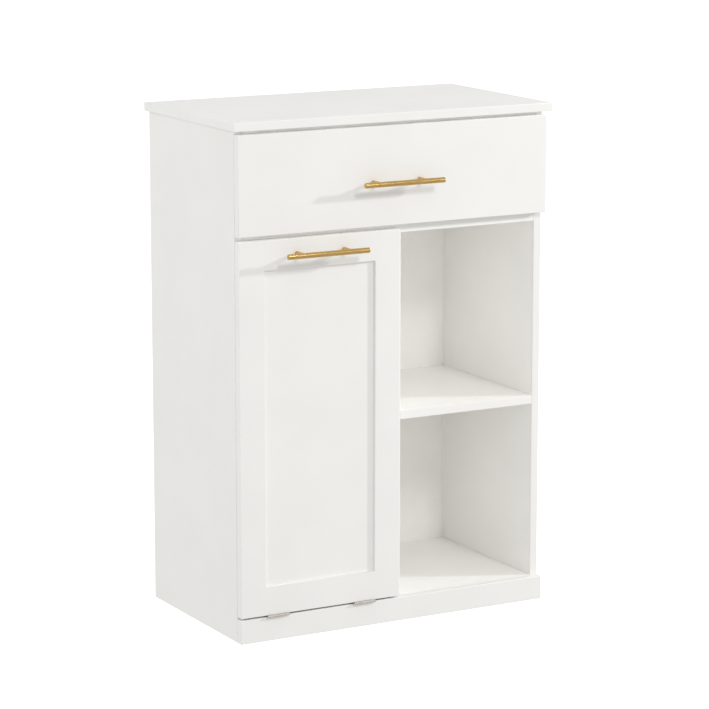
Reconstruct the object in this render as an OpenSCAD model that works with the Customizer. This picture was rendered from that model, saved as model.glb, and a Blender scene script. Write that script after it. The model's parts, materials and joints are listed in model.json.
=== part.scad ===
// Laundry cabinet: a drawer above, a tilting hamper door on the left, two open bays on the right.
// X runs to the right, Y to the back, Z up. The origin is on the floor, under the middle of the
// whole cabinet with its handles.

/* [Case] */
// Width of the top board
top_w = 660; // [610:5:760]
// Depth of the top board
top_d = 370; // [350:5:420]
// Height of the top's upper face above the floor
case_h = 950; // [910:5:1050]
// Thickness of the case boards and of the shelf
board_t = 16; // [15:0.5:18]
// How far the top stands past each side panel
top_side_lip = 10; // [5:1:20]
// How far the top stands ahead of the drawer front and the door
top_front_lip = 4; // [2:1:10]
// Height of the plinth, level with the floor of the bays
plinth_h = 45; // [43:1:70]
// Clear width of the bay behind the tilting door
hamper_w = 307; // [300:1:330]
// Clear height of the lower open bay
lower_bay_h = 334; // [250:1:380]

/* [Back] */
// Thickness of the three back panels
back_t = 3; // [2.5:0.5:4]
// Distance from the back panels to the rear edge of the case
back_inset = 18.5; // [12:0.5:24]
// Depth of the grooves that hold the back panels and the drawer bottom
groove_d = 5; // [4:0.5:5.5]

/* [Fronts] */
// Thickness of the drawer front, the door and the plinth
front_t = 16; // [15:0.5:19]
// Gap between the fronts and the case behind them
front_gap = 1; // [0.8:0.1:2]
// Height of the drawer front
drawer_front_h = 182; // [165:1:200]
// Gap between the top board and the drawer front
drawer_top_gap = 6.7; // [4:0.1:10]
// Gap between the drawer front and the door
front_split = 8; // [6:0.5:9]
// How far the drawer front's lower edge is above the deck under it
deck_drop = 1.3; // [0.5:0.1:3]
// How far the door covers the front edge of the divider
door_lap = 5; // [3:1:12]
// Width of the door's upright borders round the recessed panel
stile_w = 52; // [40:1:70]
// Width of the door's upper and lower borders
rail_w = 55; // [40:1:75]
// Depth of the recessed panel
recess_d = 6; // [3:0.5:8]

/* [Handles] */
// Diameter of the handle bars
bar_d = 10; // [8:0.5:14]
// Length of the handle bars
bar_l = 164; // [130:1:220]
// Distance between the two posts of a handle
post_spacing = 96; // [64:32:128]
// Diameter of the posts
post_d = 8; // [7:0.5:10]
// Distance from a front to the middle of its bar
handle_stand = 32; // [26:1:40]
// Height of the drawer's handle above the drawer front's lower edge
drawer_handle_h = 81; // [60:1:110]
// Diameter of the handle screws
handle_screw_d = 4; // [3.5:0.5:5]

/* [Hinges] */
// Gap between the plinth and the door, where the hinges lie
hinge_gap = 3.3; // [3.2:0.1:4]
// Length of a butt hinge
hinge_l = 44; // [30:1:60]
// Distance from the door's edge to the near end of a hinge
hinge_inset = 52.5; // [40:0.5:80]
// Thickness of a hinge leaf
leaf_t = 1.4; // [1:0.1:1.5]
// How far a leaf reaches behind the front of the door
leaf_reach = 11.5; // [10:0.5:13]
// Outside diameter of the hinge knuckles
knuckle_d = 5; // [4.5:0.1:5.4]
// Diameter of the hinge pins
pin_d = 2.4; // [2:0.1:2.8]

/* [Drawer box] */
// Depth of the drawer box behind its front
box_d = 300; // [280:5:310]
// Height of the drawer box
box_h = 120; // [100:1:130]
// Thickness of the drawer's sides and back
box_side_t = 12; // [12:0.5:15]
// Height of the drawer box above the deck
box_lift = 18; // [14:1:24]
// Thickness of the drawer bottom
bottom_t = 3; // [2.5:0.5:5]
// Height of the drawer bottom above the lower edge of the box
bottom_rise = 10; // [8:1:16]

/* [Runners] */
// Space between the case and the drawer box on each side
runner_space = 12.5; // [12.5:0.1:14]
// Height of the channel of a case runner
runner_h = 28; // [27:0.5:32]
// Thickness of the runner steel
runner_t = 1.2; // [1:0.1:1.5]
// Width of the runner flanges
runner_flange = 8.8; // [8.5:0.1:9]
// Diameter of the front rollers
front_roller_d = 20; // [16:0.5:21]
// Width of the rollers
roller_w = 6; // [5:0.2:6.2]
// Diameter of the rivets that the rollers turn on
rivet_d = 4; // [3:0.5:5]

/* [Stay] */
// Radius of the curved stay, from the hinge line to its middle
stay_r = 260; // [220:5:300]
// Width of the stay plate
stay_w = 14; // [12:1:18]
// Thickness of the stay plate
stay_t = 2; // [1.5:0.5:2.5]
// Angle that the door tilts through
tilt = 38; // [30:1:40]
// Diameter of the peg that the stay slides on
peg_d = 5; // [4:0.5:6]

/* [Laundry bag] */
// Width of the bag frame between the middles of its rods
bag_w = 230; // [200:1:240]
// Depth of the bag frame between the middles of its rods
bag_depth = 244; // [200:1:250]
// Height of the door's upper edge above the middle of the bag frame's rods
bag_drop = 101; // [97:1:180]
// Diameter of the rods of the bag frame
rod_d = 6; // [5:0.5:7]
// Corner radius of the bag frame
rod_bend_r = 20; // [15:1:40]
// Thickness of the bag's cloth wall
bag_wall = 2.5; // [1.5:0.5:4]
// Thickness of the hem round the rods
hem_t = 2.7; // [2:0.1:4]
// Space between the bag and the floor of the bay
bag_floor_gap = 30; // [15:1:60]

/* [Board fittings] */
// Diameter of the cam locks in the case
cam_d = 15; // [12:0.5:15]
// Distance from a board's end to the middle of its cam lock
cam_back = 24; // [22:1:30]
// Diameter of the cam bolts' threads
bolt_d = 6; // [5:0.5:7]
// Depth of the cam bolts in the board that they are screwed into
bolt_depth = 11; // [9:0.5:12]
// Diameter of the wood dowels
dowel_d = 8; // [6:1:8]
// Length of the wood dowels
dowel_l = 30; // [25:1:35]
// Diameter of the long case screws
case_screw_d = 7; // [5:0.5:7]
// Length of the long case screws
case_screw_l = 50; // [40:1:60]
// Diameter of the small wood screws
wood_screw_d = 3; // [2.5:0.5:3.5]
// Length of the small wood screws
wood_screw_l = 12; // [10:0.5:12]
// Length of the small wood screws in the thin part of the door
short_screw_l = 8; // [6:0.5:8]

/* [Hidden] */
$fn = 48;

// Clearances
cut = 1;             // how far a cutting shape stands past what it cuts
slide_fit = 0.15;    // each side of a board in its groove
end_fit = 0.3;       // between a board's end and what it stops against
screw_fit = 0.05;    // round a screw, bolt or dowel in its hole
turn_fit = 0.05;     // radial, round a pin or rivet that something turns on
seat_fit = 0.3;      // between moving pieces that nearly touch
cloth_fit = 0.3;     // between the hem and the rod in it

// Planes of the case
handle_reach = handle_stand + bar_d / 2 - top_front_lip;
back_y = (top_d + handle_reach) / 2;
top_front_y = back_y - top_d;
front_y = top_front_y + top_front_lip;
front_back_y = front_y + front_t;
case_front_y = front_back_y + front_gap;
side_x = top_w / 2 - top_side_lip;
bay_x = side_x - board_t;
top_z = case_h - board_t;
floor_z = plinth_h - board_t;
back_panel_y = back_y - back_inset - back_t;
groove_y = back_panel_y - slide_fit;
groove_w = back_t + 2 * slide_fit;
tongue = groove_d - end_fit;

// Fronts and what lies behind them
drawer_front_top = top_z - drawer_top_gap;
drawer_front_z = drawer_front_top - drawer_front_h;
deck_top = drawer_front_z - deck_drop;
deck_z = deck_top - board_t;
door_top = drawer_front_z - front_split;
door_z = plinth_h + hinge_gap;
divider_x = -bay_x + hamper_w;
divider_right = divider_x + board_t;
door_x = -side_x;
door_right = divider_x + door_lap;
door_mid_x = (door_x + door_right) / 2;
shelf_z = plinth_h + lower_bay_h;
shelf_back_y = back_panel_y - end_fit;

// Handles
bar_y = front_y - handle_stand;
drawer_handle_z = drawer_front_z + drawer_handle_h;
door_handle_z = door_top - rail_w / 2;
screw_head_d = 8;
screw_head_t = 2.4;
post_thread_l = 14;
post_thread_end = 2;  // left free at the end of the thread
handle_hole_room = 0.2;

// Hinges
axis_y = front_y - knuckle_d / 2;
axis_z = plinth_h + hinge_gap / 2;
hinge_xs = [door_x + hinge_inset + hinge_l / 2, door_right - hinge_inset - hinge_l / 2];
knuckle_count = 5;
knuckle_l = hinge_l / knuckle_count;
knuckle_gap = 0.2;
knuckle_room = 0.25;  // radial, between a knuckle and the other leaf
leaf_hole_inset = 7;
leaf_hole_back = 4.5;
hinge_screw_x = hinge_l / 2 - leaf_hole_inset;
hinge_screw_y = front_y + leaf_reach - leaf_hole_back;

// Drawer box
box_x = bay_x - runner_space;
box_in_x = box_x - box_side_t;
box_z = deck_top + box_lift;
box_top = box_z + box_h;
box_back_y = front_back_y + box_d;
bottom_z = box_z + bottom_rise;
box_back_z = bottom_z + bottom_t + slide_fit;
box_screw_low = 22;   // from the drawer back's lower edge to its lower screws
box_screw_drop = 25;  // from the box's upper edge to the upper screws
box_screw_z = [box_back_z + box_screw_low, box_top - box_screw_drop];
box_screw_d = 4;
box_screw_l = 35;
box_head_d = 2 * box_screw_d;
box_head_t = 2;
box_cam_low = 32;
box_cam_drop = 28;
box_cam_z = [box_z + box_cam_low, box_top - box_cam_drop];
box_cam_d = 12;
box_cam_back = 20;
box_dowel_z = (box_cam_z[0] + box_cam_z[1]) / 2;

// Runners, measured up from the underside of the channel
channel_rise = 0.8;   // from the underside of the box to the underside of the channel
channel_z = box_z + channel_rise;
runner_setback = 3;
runner_front_y = case_front_y + runner_setback;
runner_l = box_d;
roller_play = 0.3;
roller_end = 2;       // from a roller to the end of its runner
roller_side = 1.5;    // from a roller to the web beside it
rear_roller_d = runner_h - 2 * runner_t - 2 * roller_play;
track_drop = 4.1;     // from the channel's upper flange down to the drawer's track
track_rise = runner_h - runner_t - track_drop;
front_roller_z = channel_z + track_rise - seat_fit - front_roller_d / 2;
front_roller_y = runner_front_y + front_roller_d / 2 + roller_end;
rear_roller_z = channel_z + runner_h / 2;
rear_roller_y = box_back_y - rear_roller_d / 2 - roller_end;
front_roller_x = -bay_x + runner_t + roller_side;
drawer_web_x = -box_x - runner_t;
rear_roller_x = drawer_web_x - roller_w - roller_side / 2;
rivet_head_d = 7;
rivet_head_t = 0.8;
rivet_room = 0.2;     // between a rivet's head and its roller
rivet_short = 0.1;    // how far a rivet stays short of the far face of its web
track_room = 2.3;     // from the channel's web to the edge of the drawer's track
track_x = -bay_x + runner_t + track_room;
drawer_runner_setback = 2;
track_end = 1.5;      // from the track's end to the rear roller
runner_screw_inset = 45;
runner_screw_ys = [runner_front_y + runner_screw_inset, runner_front_y + runner_l / 2,
  runner_front_y + runner_l - runner_screw_inset];
case_runner_screw_z = channel_z + runner_h / 2;
above_bottom = 3;     // from the drawer bottom to the heads of the runner screws above it
drawer_runner_screw_z = bottom_z + bottom_t + wood_screw_d + above_bottom;

// Stay
stay_room = 4;        // from the side panel to the stay
stay_x = -bay_x + stay_room;
peg_angle = 10;
slot_room = 0.2;      // radial, between the peg and its slot
slot_w = peg_d + 2 * slot_room;
slot_end_play = 0.5;
stay_tail = 4;
stay_foot_w = 20;
stay_foot_h = 30;
peg_flange_d = 16;
peg_flange_t = 2;
peg_head_d = 10;
peg_head_t = 2;
stay_foot_screw_zs = [-8, 8];
stay_foot_screw_inset = 7;

// Catch
strike_t = front_gap;
strike_w = 30;
strike_h = 12;
catch_w = 46;
catch_d = 14;
catch_h = 13;
pocket_w = 20;
pocket_h = 7;
pole_t = 1.2;
pole_lead = 1;        // how far the pole plates stand ahead of the magnet
pole_fit = 0.1;
catch_screw_x = 17;
catch_screw_sink = 8;
catch_back_wall = 2;
strike_screw_x = 10;
catch_y = case_front_y + seat_fit;

// Laundry bag
bag_shift = 5.5;      // the bag stands off the middle of its bay, clear of the stay
bag_x = -bay_x + hamper_w / 2 + bag_shift;
rim_z = door_top - bag_drop;
bag_plate_w = 22;
bag_plate_h = 40;
bag_plate_t = 2;
bag_setback = 14.5;
bag_front_y = front_back_y + bag_setback;
bag_rear_y = bag_front_y + bag_depth;
bag_z = plinth_h + bag_floor_gap;
hem_r = rod_d / 2 + cloth_fit + hem_t;
bag_plate_screw_z = [-14, 14];

// Bumpers
bumper_d = 8;
bumper_t = front_gap - seat_fit;
bumper_inset = 30;

// Joints between boards. Each is [place, turn, spin, board thickness]: the place is where the
// board's end meets its neighbour, the turned Z axis runs into the board, and Y faces the cam.
into_right = [0, 90, 0];
into_left = [0, -90, 0];
into_down = [180, 0, 0];
into_up = [0, 0, 0];
into_back = [-90, 0, 0];
face_up = 90;
face_down = -90;
cam_inset = 50;
cam_ys = [case_front_y + cam_inset, back_panel_y - cam_inset];
dowel_inset = 90;
dowel_ys = [case_front_y + dowel_inset, back_panel_y - dowel_inset];
plinth_cam_inset = 104;
plinth_cam_shift = 3;  // the middle one stands a little left of the divider
plinth_cam_xs = [-bay_x + plinth_cam_inset, divider_x - plinth_cam_shift, bay_x - plinth_cam_inset];

function ends(ys, left, right, z, left_face) = concat(
  [for (y = ys) [[left, y, z], into_right, left_face, board_t]],
  [for (y = ys) [[right, y, z], into_left, -left_face, board_t]]);

base_mid = plinth_h - board_t / 2;
deck_mid = deck_z + board_t / 2;
shelf_mid = shelf_z + board_t / 2;
divider_mid = divider_x + board_t / 2;
side_mid = side_x - board_t / 2;
rail_setback = 10;    // from the back panels' plane to the rail
rail_y = back_y - back_inset - board_t - rail_setback;
rail_mid_y = rail_y + board_t / 2;
top_rail_room = 14;    // from the drawer box to the rail above it
top_rail_z = box_top + top_rail_room;
top_rail_mid_y = case_front_y + board_t / 2;
top_rail_mid_z = (top_rail_z + top_z) / 2;

base_cams = ends(cam_ys, -bay_x, bay_x, base_mid, face_down);
deck_cams = ends(cam_ys, -bay_x, bay_x, deck_mid, face_up);
shelf_cams = ends(cam_ys, divider_right, bay_x, shelf_mid, face_down);
top_cams = [for (s = [-1, 1], y = cam_ys) [[s * side_mid, y, top_z], into_down, s * 90, board_t]];
plinth_cams = [for (x = plinth_cam_xs) [[x, case_front_y, base_mid], into_back, 0, board_t]];
rail_cams = [
  [[-bay_x, rail_mid_y, floor_z / 2], into_right, 180, board_t],
  [[bay_x, rail_mid_y, floor_z / 2], into_left, 180, board_t]];
top_rail_cams = [
  [[-bay_x, top_rail_mid_y, top_rail_mid_z], into_right, 0, board_t],
  [[bay_x, top_rail_mid_y, top_rail_mid_z], into_left, 0, board_t]];
case_cams = concat(base_cams, deck_cams, shelf_cams, top_cams, plinth_cams, rail_cams, top_rail_cams);

base_dowels = ends(dowel_ys, -bay_x, bay_x, base_mid, face_down);
deck_dowels = ends(dowel_ys, -bay_x, bay_x, deck_mid, face_up);
shelf_dowels = ends(dowel_ys, divider_right, bay_x, shelf_mid, face_down);
top_dowels = [for (s = [-1, 1], y = dowel_ys) [[s * side_mid, y, top_z], into_down, 0, board_t]];
plinth_dowels = [for (s = [-1, 1]) [[s * side_mid, case_front_y, plinth_h / 2], into_back, 0, board_t]];
rail_dowels = [for (s = [-1, 1])
  [[s * (bay_x - plinth_cam_inset), rail_mid_y, floor_z], into_down, 0, board_t]];
top_rail_dowels = [for (s = [-1, 1])
  [[s * (bay_x - plinth_cam_inset), top_rail_mid_y, top_z], into_down, 0, board_t]];
divider_mid_y = (case_front_y + back_panel_y) / 2;
divider_dowels = [
  [[divider_mid, divider_mid_y, plinth_h], into_up, 0, board_t],
  [[divider_mid, divider_mid_y, deck_z], into_down, 0, board_t]];
case_dowel_joints = concat(base_dowels, deck_dowels, shelf_dowels, top_dowels, plinth_dowels,
  rail_dowels, top_rail_dowels, divider_dowels);

long_screws_up = [for (y = dowel_ys) [[divider_mid, y, plinth_h], into_up, 0, board_t]];
long_screws_down = [for (y = dowel_ys) [[divider_mid, y, deck_z], into_down, 0, board_t]];
case_long_joints = concat(long_screws_up, long_screws_down);

box_side_mid = box_x - box_side_t / 2;
box_cams = [for (s = [-1, 1], z = box_cam_z)
  [[s * box_side_mid, front_back_y, z], into_back, s * 90, box_side_t]];
box_dowels = [for (s = [-1, 1])
  [[s * box_side_mid, front_back_y, box_dowel_z], into_back, 0, box_side_t]];
box_screws = [
  for (z = box_screw_z) [[-box_in_x, box_back_y - box_side_t / 2, z], into_right, 0, box_side_t],
  for (z = box_screw_z) [[box_in_x, box_back_y - box_side_t / 2, z], into_left, 0, box_side_t]];
dowel_in_end = dowel_l * 0.63;
dowel_in_face = dowel_l - dowel_in_end;
cam_floor = 3.5;     // board left under a cam lock
cam_wall = 0.1;      // between a cam lock and its bore
cam_sink = 0.2;      // how far a cam lock lies below the board's face
slot_cut_w = 1.6;    // screwdriver cross in a cam lock
slot_cut_depth = 1.4;
case_head_rim = 1.5;
case_head_d = case_screw_d + 2 * case_head_rim;
case_head_t = 3;
hex_d = 4;
hex_depth = 2;
neck_d = 4;
head_d = 5.6;
head_l = 4;
head_start = 1.5;    // how far a bolt's head starts short of its cam lock's middle
bolt_room = 0.5;     // round a bolt in the board that holds its cam lock
cam_mouth_room = 0.3;
cam_mouth_d = head_d + 2 * cam_mouth_room;

// Small countersunk screws: [place of the head's face, turn]. The turned Z axis runs into the work.
hinge_case_screws = [for (x = hinge_xs, s = [-1, 1])
  [[x + s * hinge_screw_x, hinge_screw_y, plinth_h + leaf_t], into_down]];
hinge_door_screws = [for (x = hinge_xs, s = [-1, 1])
  [[x + s * hinge_screw_x, hinge_screw_y, door_z - leaf_t], into_up]];
catch_screws = [for (s = [-1, 1])
  [[door_mid_x + s * catch_screw_x, catch_y + catch_d / 2, deck_z - catch_h + catch_screw_sink], into_up]];
left_runner_screws = [for (y = runner_screw_ys)
  [[-bay_x + runner_t, y, case_runner_screw_z], into_left]];
right_runner_screws = [for (y = runner_screw_ys)
  [[bay_x - runner_t, y, case_runner_screw_z], into_right]];
left_box_runner_screws = [for (y = runner_screw_ys)
  [[drawer_web_x, y, drawer_runner_screw_z], into_right]];
right_box_runner_screws = [for (y = runner_screw_ys)
  [[-drawer_web_x, y, drawer_runner_screw_z], into_left]];
bottom_screw_x = box_in_x * 0.6;
bottom_screws = [for (s = [-1, 0, 1])
  [[s * bottom_screw_x, box_back_y - box_side_t / 2, bottom_z], into_up]];
stay_foot_x = stay_x + stay_foot_w - stay_foot_screw_inset;
stay_foot_z = axis_z + sqrt(pow(stay_r, 2) - pow(front_back_y - axis_y, 2));
into_front = [90, 0, 0];
stay_screws = [for (z = stay_foot_screw_zs)
  [[stay_foot_x, front_back_y + stay_t, stay_foot_z + z], into_front]];
frame_screws = [for (s = [-1, 1], z = bag_plate_screw_z)
  [[bag_x + s * bag_w / 2, front_back_y + bag_plate_t, rim_z + z], into_front]];
strike_z = deck_z - catch_h / 2;
strike_screws = [for (s = [-1, 1])
  [[door_mid_x + s * strike_screw_x, front_back_y + strike_t, strike_z], into_front]];
countersink_d = 2 * wood_screw_d;
countersink_l = 1;
cross_l = 3.2;
cross_w = 0.7;
cross_depth = 0.6;

// Shared shapes

module at_joint(j) {
  translate(j[0]) rotate(j[1]) rotate([0, 0, j[2]]) children();
}

module at_screw(s) {
  translate(s[0]) rotate(s[1]) children();
}

module block(low, high) {
  translate(low) cube(high - low);
}

// A round bar between two values of X
module bar_x(x0, x1, y, z, d) {
  translate([x0, y, z]) rotate([0, 90, 0]) cylinder(d = d, h = x1 - x0);
}

// A round bar between two values of Y
module bar_along_y(y0, y1, x, z, d) {
  translate([x, y0, z]) rotate([-90, 0, 0]) cylinder(d = d, h = y1 - y0);
}

// Bores in the board that holds the cam locks
module cam_bores(joints, d, back) {
  for (j = joints) at_joint(j) {
    translate([0, j[3] / 2 + cut, back]) rotate([90, 0, 0]) cylinder(d = d, h = j[3] - cam_floor + cut);
    translate([0, 0, -cut])
      cylinder(d = bolt_d + 2 * bolt_room, h = back + head_l - head_start + end_fit + cut);
  }
}

// Bores in the board that the cam bolts are screwed into
module bolt_bores(joints) {
  for (j = joints) at_joint(j) translate([0, 0, -bolt_depth - end_fit])
    cylinder(d = bolt_d + 2 * screw_fit, h = bolt_depth + end_fit + cut);
}

module cam_locks(joints, d, back) {
  for (j = joints) at_joint(j) translate([0, 0, back]) {
    body = j[3] - cam_floor - end_fit - cam_sink;
    lock_d = d - 2 * cam_wall;
    face_y = j[3] / 2 - cam_sink;
    difference() {
      translate([0, face_y, 0]) rotate([90, 0, 0]) cylinder(d = lock_d, h = body);
      translate([0, 0, -d]) cylinder(d = cam_mouth_d, h = d + head_l - head_start + end_fit);
      for (a = [0, 90]) rotate([0, a, 0])
        translate([-lock_d * 0.3, face_y - slot_cut_depth, -slot_cut_w / 2])
        cube([lock_d * 0.6, slot_cut_depth + cut, slot_cut_w]);
    }
  }
}

module cam_bolts(joints, back) {
  for (j = joints) at_joint(j) {
    translate([0, 0, -bolt_depth]) cylinder(d = bolt_d, h = bolt_depth);
    cylinder(d = neck_d, h = back);
    translate([0, 0, back - head_start]) cylinder(d = head_d, h = head_l);
  }
}

module dowel_bores(joints) {
  for (j = joints) at_joint(j) translate([0, 0, -dowel_in_face - end_fit])
    cylinder(d = dowel_d + 2 * screw_fit, h = dowel_l + 2 * end_fit);
}

module dowels(joints) {
  for (j = joints) at_joint(j) translate([0, 0, -dowel_in_face]) cylinder(d = dowel_d, h = dowel_l);
}

module long_screw_bores(joints) {
  for (j = joints) at_joint(j) translate([0, 0, -board_t - cut]) {
    cylinder(d = case_screw_d + 2 * screw_fit, h = case_screw_l + cut + end_fit);
    cylinder(d = case_head_d + 2 * screw_fit, h = case_head_t + cut);
  }
}

module long_screws(joints) {
  for (j = joints) at_joint(j) translate([0, 0, -board_t]) {
    difference() {
      cylinder(d = case_head_d, h = case_head_t - screw_fit);
      translate([0, 0, -cut]) cylinder(d = hex_d, h = hex_depth + cut, $fn = 6);
    }
    cylinder(d = case_screw_d, h = case_screw_l);
  }
}

// Screws through a drawer side into the end of the drawer's back
module box_screw_bores() {
  for (j = box_screws) at_joint(j) translate([0, 0, -box_side_t - cut]) {
    cylinder(d = box_screw_d + 2 * screw_fit, h = box_screw_l + cut + end_fit);
    cylinder(d = box_head_d + 2 * screw_fit, h = box_head_t + cut);
  }
}

module box_screw_set() {
  for (j = box_screws) at_joint(j) translate([0, 0, -box_side_t]) {
    cylinder(d = box_screw_d, h = box_screw_l);
    difference() {
      cylinder(d = box_head_d, h = box_head_t - screw_fit);
      cross_slot();
    }
  }
}

module cross_slot() {
  for (a = [0, 90]) rotate([0, 0, a]) translate([-cross_l / 2, -cross_w / 2, -cut])
    cube([cross_l, cross_w, cross_depth + cut]);
}

module wood_screw_bores(screws, length = wood_screw_l) {
  for (s = screws) at_screw(s) {
    translate([0, 0, -cut]) cylinder(d = wood_screw_d + 2 * screw_fit, h = length + end_fit + cut);
    cylinder(d1 = countersink_d + 2 * screw_fit, d2 = wood_screw_d + 2 * screw_fit, h = countersink_l);
    translate([0, 0, -cut]) cylinder(d = countersink_d + 2 * screw_fit, h = cut);
  }
}

module wood_screws(screws, length = wood_screw_l) {
  for (s = screws) at_screw(s) difference() {
    union() {
      cylinder(d = wood_screw_d, h = length);
      cylinder(d1 = countersink_d, d2 = wood_screw_d, h = countersink_l);
    }
    cross_slot();
  }
}

module board(low, high) {
  color("white") difference() {
    block(low, high);
    children();
  }
}

// Groove for the back panels, cut between two corners
module back_groove(x0, x1, z0, z1) {
  block([x0, groove_y, z0], [x1, groove_y + groove_w, z1]);
}

module back_panel(x0, x1, z0, z1) {
  color("white") block([x0 - tongue, back_panel_y, z0 - tongue],
    [x1 + tongue, back_panel_y + back_t, z1 + tongue]);
}

module rounded_plate(w, d, r) {
  translate([-w / 2 + r, -d / 2]) square([w - 2 * r, d]);
  translate([-w / 2, -d / 2 + r]) square([w, d - 2 * r]);
  for (sx = [-1, 1], sy = [-1, 1]) translate([sx * (w / 2 - r), sy * (d / 2 - r)]) circle(r = r);
}

// Case boards

module top_panel() {
  board([-top_w / 2, top_front_y, top_z], [top_w / 2, back_y, case_h]) {
    back_groove(-bay_x - groove_d, bay_x + groove_d, top_z - cut, top_z + groove_d);
    bolt_bores(top_cams);
    dowel_bores(concat(top_dowels, top_rail_dowels));
  }
}

module left_side_panel() {
  board([-side_x, case_front_y, 0], [-bay_x, back_y, top_z]) {
    back_groove(-bay_x - groove_d, -bay_x + cut, plinth_h - groove_d, top_z + cut);
    bolt_bores(concat(base_cams, deck_cams, rail_cams, top_rail_cams));
    cam_bores(top_cams, cam_d, cam_back);
    dowel_bores(concat(base_dowels, deck_dowels, top_dowels, plinth_dowels));
    wood_screw_bores(left_runner_screws);
    peg_bore();
  }
}

module right_side_panel() {
  board([bay_x, case_front_y, 0], [side_x, back_y, top_z]) {
    back_groove(bay_x - cut, bay_x + groove_d, plinth_h - groove_d, top_z + cut);
    bolt_bores(concat(base_cams, deck_cams, shelf_cams, rail_cams, top_rail_cams));
    cam_bores(top_cams, cam_d, cam_back);
    dowel_bores(concat(base_dowels, deck_dowels, shelf_dowels, top_dowels, plinth_dowels));
    wood_screw_bores(right_runner_screws);
  }
}

module base_panel() {
  board([-bay_x, case_front_y, floor_z], [bay_x, back_y, plinth_h]) {
    back_groove(-bay_x - cut, bay_x + cut, plinth_h - groove_d, plinth_h + cut);
    cam_bores(concat(base_cams, plinth_cams), cam_d, cam_back);
    dowel_bores(concat(base_dowels, rail_dowels, divider_dowels));
    long_screw_bores(long_screws_up);
  }
}

module centre_divider() {
  board([divider_x, case_front_y, plinth_h], [divider_right, back_y, deck_z]) {
    back_groove(divider_x - cut, divider_x + groove_d, plinth_h - cut, deck_z + cut);
    back_groove(divider_right - groove_d, divider_right + cut, plinth_h - cut, deck_z + cut);
    bolt_bores(shelf_cams);
    dowel_bores(concat(shelf_dowels, divider_dowels));
    long_screw_bores(case_long_joints);
  }
}

module drawer_deck() {
  board([-bay_x, case_front_y, deck_z], [bay_x, back_y, deck_top]) {
    back_groove(-bay_x - cut, bay_x + cut, deck_z - cut, deck_z + groove_d);
    back_groove(-bay_x - cut, bay_x + cut, deck_top - groove_d, deck_top + cut);
    cam_bores(deck_cams, cam_d, cam_back);
    dowel_bores(concat(deck_dowels, divider_dowels));
    long_screw_bores(long_screws_down);
    wood_screw_bores(catch_screws);
  }
}

module shelf() {
  board([divider_right, case_front_y, shelf_z], [bay_x, shelf_back_y, shelf_z + board_t]) {
    cam_bores(shelf_cams, cam_d, cam_back);
    dowel_bores(shelf_dowels);
  }
}

module plinth() {
  board([-side_x, case_front_y - front_t, 0], [side_x, case_front_y, plinth_h]) {
    bolt_bores(plinth_cams);
    dowel_bores(plinth_dowels);
    wood_screw_bores(hinge_case_screws);
  }
}

module rear_foot_rail() {
  board([-bay_x, rail_y, 0], [bay_x, rail_y + board_t, floor_z]) {
    cam_bores(rail_cams, cam_d, cam_back);
    dowel_bores(rail_dowels);
  }
}

// The rail that shows in the gap between the top and the drawer front
module drawer_top_rail() {
  board([-bay_x, case_front_y, top_rail_z], [bay_x, case_front_y + board_t, top_z]) {
    cam_bores(top_rail_cams, cam_d, cam_back);
    dowel_bores(top_rail_dowels);
  }
}

module hamper_back_panel() {
  back_panel(-bay_x, divider_x, plinth_h, deck_z);
}

module shelf_back_panel() {
  back_panel(divider_right, bay_x, plinth_h, deck_z);
}

module drawer_bay_back_panel() {
  back_panel(-bay_x, bay_x, deck_top, top_z);
}

// Case fittings

module case_cam_locks() {
  color("silver") cam_locks(case_cams, cam_d, cam_back);
}

module case_cam_bolts() {
  color("silver") cam_bolts(case_cams, cam_back);
}

module case_dowels() {
  color("burlywood") dowels(case_dowel_joints);
}

module case_long_screws() {
  color("silver") long_screws(case_long_joints);
}

module case_wood_screws() {
  color("silver")
    wood_screws(concat(hinge_case_screws, catch_screws, left_runner_screws, right_runner_screws));
}

// The left case runner: a channel that opens towards the drawer
module case_runner() {
  color("whitesmoke") difference() {
    block([-bay_x, runner_front_y, channel_z],
      [-bay_x + runner_flange, runner_front_y + runner_l, channel_z + runner_h]);
    block([-bay_x + runner_t, runner_front_y - cut, channel_z + runner_t],
      [-bay_x + runner_flange + cut, runner_front_y + runner_l + cut, channel_z + runner_h - runner_t]);
    wood_screw_bores(left_runner_screws);
    bar_x(-bay_x - cut, -bay_x + runner_t + cut, front_roller_y, front_roller_z, rivet_d + 2 * screw_fit);
  }
}

module left_case_runner() {
  case_runner();
}

module right_case_runner() {
  mirror([1, 0, 0]) case_runner();
}

module front_roller() {
  color("ivory") difference() {
    bar_x(front_roller_x, front_roller_x + roller_w, front_roller_y, front_roller_z, front_roller_d);
    bar_x(front_roller_x - cut, front_roller_x + roller_w + cut, front_roller_y, front_roller_z,
      rivet_d + 2 * turn_fit);
  }
}

module left_front_roller() {
  front_roller();
}

module right_front_roller() {
  mirror([1, 0, 0]) front_roller();
}

module case_rivet() {
  head_x = front_roller_x + roller_w + rivet_room;
  bar_x(-bay_x + rivet_short, head_x + rivet_head_t, front_roller_y, front_roller_z, rivet_d);
  bar_x(head_x, head_x + rivet_head_t, front_roller_y, front_roller_z, rivet_head_d);
}

module case_roller_rivets() {
  color("silver") for (m = [0, 1]) mirror([m, 0, 0]) case_rivet();
}

// Butt hinges

module knuckles(x, odd) {
  for (i = [odd : 2 : knuckle_count - 1]) {
    gap = odd == 0 ? 0 : knuckle_gap;
    x0 = x - hinge_l / 2 + i * knuckle_l;
    bar_x(x0 + gap, x0 + knuckle_l - gap, axis_y, axis_z, knuckle_d);
  }
}

module knuckle_clearance(x, odd) {
  for (i = [odd : 2 : knuckle_count - 1]) {
    gap = odd == 0 ? knuckle_gap : 0;
    x0 = x - hinge_l / 2 + i * knuckle_l;
    bar_x(x0 - gap, x0 + knuckle_l + gap, axis_y, axis_z, knuckle_d + 2 * knuckle_room);
  }
}

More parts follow.
